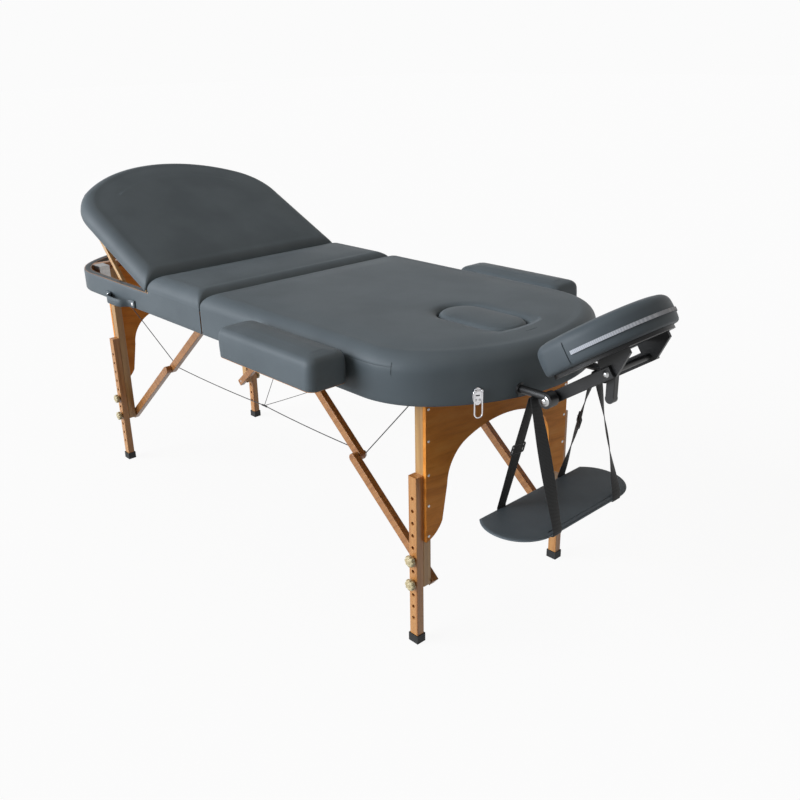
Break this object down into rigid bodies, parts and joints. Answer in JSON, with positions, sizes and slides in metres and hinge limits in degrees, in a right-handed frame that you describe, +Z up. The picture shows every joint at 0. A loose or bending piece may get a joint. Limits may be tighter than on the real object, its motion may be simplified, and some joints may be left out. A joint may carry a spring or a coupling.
{
  "type": "portable massage table",
  "caption": "Padded oval massage table on folding braced wooden legs, with raised backrest, side armrests, tilting face cradle and hanging arm sling; folds in half.",
  "frame": {"origin": "on the floor, under the middle of the overall length and width with the face cradle fitted", "axes": "+X along the table from the foot end to the face cradle, +Z up from the floor, -Y the handle side"},
  "size_m": [2.0572, 0.93, 0.9786],
  "materials": {
    "beech": "clear varnish",
    "plywood": "clear varnish",
    "vinyl": "soft grain, padded",
    "black_plastic": "fine texture",
    "cream_plastic": "satin",
    "steel": "zinc plated",
    "chrome": "bright plate",
    "black_steel": "satin black",
    "webbing": "woven",
    "foot_rubber": "moulded"
  },
  "bodies": {
    "head_half": {"head_frame": "beech", "head_deck": "plywood", "head_pad": "vinyl", "head_side_band": "vinyl", "cradle_sockets": "black_plastic", "head_fittings": "steel", "latch_plates": "chrome", "cables": "black_steel"},
    "foot_half": {"foot_frame": "beech", "middle_deck": "plywood", "middle_pad": "vinyl", "foot_side_band": "vinyl", "foot_fittings": "steel", "carry_handle": "vinyl"},
    "backrest": {"backrest_board": "plywood", "backrest_pad": "vinyl", "backrest_hinges": "steel"},
    "prop_stay": {"prop_stay": "beech"},
    "head_leg_frame": {"head_upper_legs": "beech", "head_arch_panel": "plywood", "head_leg_bolts": "steel"},
    "head_upper_braces": {"head_upper_braces": "beech", "head_elbow_bolts": "steel"},
    "head_lower_braces": {"head_lower_braces": "beech"},
    "head_near_leg": {"head_near_sliding_leg": "beech", "head_near_rubber_foot": "foot_rubber"},
    "head_near_upper_knob": {"head_near_upper_knob": "cream_plastic"},
    "head_near_lower_knob": {"head_near_lower_knob": "cream_plastic"},
    "head_far_leg": {"head_far_sliding_leg": "beech", "head_far_rubber_foot": "foot_rubber"},
    "head_far_upper_knob": {"head_far_upper_knob": "cream_plastic"},
    "head_far_lower_knob": {"head_far_lower_knob": "cream_plastic"},
    "foot_leg_frame": {"foot_upper_legs": "beech", "foot_arch_panel": "plywood", "foot_leg_bolts": "steel"},
    "foot_upper_braces": {"foot_upper_braces": "beech", "foot_elbow_bolts": "steel"},
    "foot_lower_braces": {"foot_lower_braces": "beech"},
    "foot_near_leg": {"foot_near_sliding_leg": "beech", "foot_near_rubber_foot": "foot_rubber"},
    "foot_near_upper_knob": {"foot_near_upper_knob": "cream_plastic"},
    "foot_near_lower_knob": {"foot_near_lower_knob": "cream_plastic"},
    "foot_far_leg": {"foot_far_sliding_leg": "beech", "foot_far_rubber_foot": "foot_rubber"},
    "foot_far_upper_knob": {"foot_far_upper_knob": "cream_plastic"},
    "foot_far_lower_knob": {"foot_far_lower_knob": "cream_plastic"},
    "armrest_near": {"armrest_near_base": "beech", "armrest_near_pad": "vinyl"},
    "armrest_far": {"armrest_far_base": "beech", "armrest_far_pad": "vinyl"},
    "face_plug": {"face_plug": "vinyl"},
    "cradle_yoke": {"cradle_yoke": "black_plastic"},
    "cradle_arms": {"cradle_arms": "black_plastic"},
    "cradle_plate": {"cradle_plate": "black_plastic", "cradle_cushion": "vinyl"},
    "cradle_lever": {"cradle_lever": "black_plastic"},
    "sling": {"sling_shelf": "vinyl", "sling_straps": "webbing"},
    "latch_bail_near": {"latch_bail_near": "chrome"},
    "latch_bail_far": {"latch_bail_far": "chrome"}
  },
  "joints": [
    {"name": "center_fold", "type": "hinge", "parent": "head_half", "child": "foot_half", "pos_m": [-0.1213, 0, 0.627], "axis": [0, -1, 0], "range_deg": [0, 85], "deforming": ["cables"]},
    {"name": "head_leg_fold", "type": "hinge", "parent": "head_half", "child": "head_leg_frame", "pos_m": [0.6037, 0, 0.664], "axis": [0, 1, 0], "range_deg": [0, 90], "deforming": ["cables"]},
    {"name": "head_upper_brace_swing", "type": "hinge", "parent": "head_half", "child": "head_upper_braces", "pos_m": [0.0087, 0, 0.664], "axis": [0, 1, 0], "range_deg": [-42.18, 0]},
    {"name": "head_lower_brace_swing", "type": "hinge", "parent": "head_leg_frame", "child": "head_lower_braces", "pos_m": [0.6037, 0, 0.158], "axis": [0, 1, 0], "range_deg": [0, 49.62]},
    {"name": "head_near_leg_height", "type": "slide", "parent": "head_leg_frame", "child": "head_near_leg", "axis": [0, 0, 1], "range_m": [-0.1272, 0.0636]},
    {"name": "head_near_upper_knob_turn", "type": "hinge", "parent": "head_leg_frame", "child": "head_near_upper_knob", "pos_m": [0.6037, -0.286, 0.228], "axis": [0, -1, 0], "continuous": true},
    {"name": "head_near_lower_knob_turn", "type": "hinge", "parent": "head_leg_frame", "child": "head_near_lower_knob", "pos_m": [0.6037, -0.286, 0.1644], "axis": [0, -1, 0], "continuous": true},
    {"name": "head_far_leg_height", "type": "slide", "parent": "head_leg_frame", "child": "head_far_leg", "axis": [0, 0, 1], "range_m": [-0.1272, 0.0636]},
    {"name": "head_far_upper_knob_turn", "type": "hinge", "parent": "head_leg_frame", "child": "head_far_upper_knob", "pos_m": [0.6037, 0.286, 0.228], "axis": [0, 1, 0], "continuous": true},
    {"name": "head_far_lower_knob_turn", "type": "hinge", "parent": "head_leg_frame", "child": "head_far_lower_knob", "pos_m": [0.6037, 0.286, 0.1644], "axis": [0, 1, 0], "continuous": true},
    {"name": "foot_leg_fold", "type": "hinge", "parent": "foot_half", "child": "foot_leg_frame", "pos_m": [-0.8463, 0, 0.664], "axis": [0, -1, 0], "range_deg": [0, 90], "deforming": ["cables"]},
    {"name": "foot_upper_brace_swing", "type": "hinge", "parent": "foot_half", "child": "foot_upper_braces", "pos_m": [-0.2513, 0, 0.664], "axis": [0, -1, 0], "range_deg": [-42.18, 0]},
    {"name": "foot_lower_brace_swing", "type": "hinge", "parent": "foot_leg_frame", "child": "foot_lower_braces", "pos_m": [-0.8463, 0, 0.158], "axis": [0, -1, 0], "range_deg": [0, 49.62]},
    {"name": "foot_near_leg_height", "type": "slide", "parent": "foot_leg_frame", "child": "foot_near_leg", "axis": [0, 0, 1], "range_m": [-0.1272, 0.0636]},
    {"name": "foot_near_upper_knob_turn", "type": "hinge", "parent": "foot_leg_frame", "child": "foot_near_upper_knob", "pos_m": [-0.8463, -0.286, 0.228], "axis": [0, -1, 0], "continuous": true},
    {"name": "foot_near_lower_knob_turn", "type": "hinge", "parent": "foot_leg_frame", "child": "foot_near_lower_knob", "pos_m": [-0.8463, -0.286, 0.1644], "axis": [0, -1, 0], "continuous": true},
    {"name": "foot_far_leg_height", "type": "slide", "parent": "foot_leg_frame", "child": "foot_far_leg", "axis": [0, 0, 1], "range_m": [-0.1272, 0.0636]},
    {"name": "foot_far_upper_knob_turn", "type": "hinge", "parent": "foot_leg_frame", "child": "foot_far_upper_knob", "pos_m": [-0.8463, 0.286, 0.228], "axis": [0, 1, 0], "continuous": true},
    {"name": "foot_far_lower_knob_turn", "type": "hinge", "parent": "foot_leg_frame", "child": "foot_far_lower_knob", "pos_m": [-0.8463, 0.286, 0.1644], "axis": [0, 1, 0], "continuous": true},
    {"name": "backrest_tilt", "type": "hinge", "parent": "foot_half", "child": "backrest", "pos_m": [-0.4083, 0, 0.696], "axis": [0, 1, 0], "range_deg": [-24.2, 13.4]},
    {"name": "prop_swing", "type": "hinge", "parent": "backrest", "child": "prop_stay", "pos_m": [-0.78251, 0, 0.85135], "axis": [0, 1, 0], "range_deg": [-22, 12.18]},
    {"name": "armrest_near_pull", "type": "slide", "parent": "head_half", "child": "armrest_near", "axis": [0, -1, 0], "range_m": [0, 0.06]},
    {"name": "armrest_far_pull", "type": "slide", "parent": "head_half", "child": "armrest_far", "axis": [0, 1, 0], "range_m": [0, 0.06]},
    {"name": "face_plug_lift", "type": "slide", "parent": "head_half", "child": "face_plug", "axis": [0, 0, 1], "range_m": [0, 0.07]},
    {"name": "cradle_slide", "type": "slide", "parent": "head_half", "child": "cradle_yoke", "axis": [1, 0, 0], "range_m": [0, 0.18]},
    {"name": "cradle_tilt", "type": "hinge", "parent": "cradle_yoke", "child": "cradle_arms", "pos_m": [0.8367, 0, 0.642], "axis": [0, -1, 0], "range_deg": [-40, 10]},
    {"name": "cradle_plate_tilt", "type": "hinge", "parent": "cradle_arms", "child": "cradle_plate", "pos_m": [0.9558, 0, 0.72294], "axis": [0, -1, 0], "range_deg": [-25, 8]},
    {"name": "cradle_lever_swing", "type": "hinge", "parent": "cradle_arms", "child": "cradle_lever", "pos_m": [0.9558, -0.058, 0.72294], "axis": [0, -1, 0], "range_deg": [0, 80]},
    {"name": "sling_swing", "type": "hinge", "parent": "cradle_yoke", "child": "sling", "pos_m": [0.8037, 0, 0.65], "axis": [0, -1, 0], "range_deg": [-5, 8]},
    {"name": "latch_bail_near_swing", "type": "hinge", "parent": "head_half", "child": "latch_bail_near", "pos_m": [0.73566, -0.20978, 0.6632], "axis": [-0.4886, -0.8725, 0], "range_deg": [0, 100]},
    {"name": "latch_bail_far_swing", "type": "hinge", "parent": "head_half", "child": "latch_bail_far", "pos_m": [0.73566, 0.20978, 0.6632], "axis": [0.4886, -0.8725, 0], "range_deg": [0, 100]}
  ],
  "couplings": [
    {"joint": "head_upper_brace_swing", "follows": "head_leg_fold", "ratio": -0.46865},
    {"joint": "head_lower_brace_swing", "follows": "head_leg_fold", "ratio": 0.55135},
    {"joint": "foot_upper_brace_swing", "follows": "foot_leg_fold", "ratio": -0.46865},
    {"joint": "foot_lower_brace_swing", "follows": "foot_leg_fold", "ratio": 0.55135},
    {"joint": "prop_swing", "follows": "backrest_tilt", "ratio": 0.90909}
  ]
}
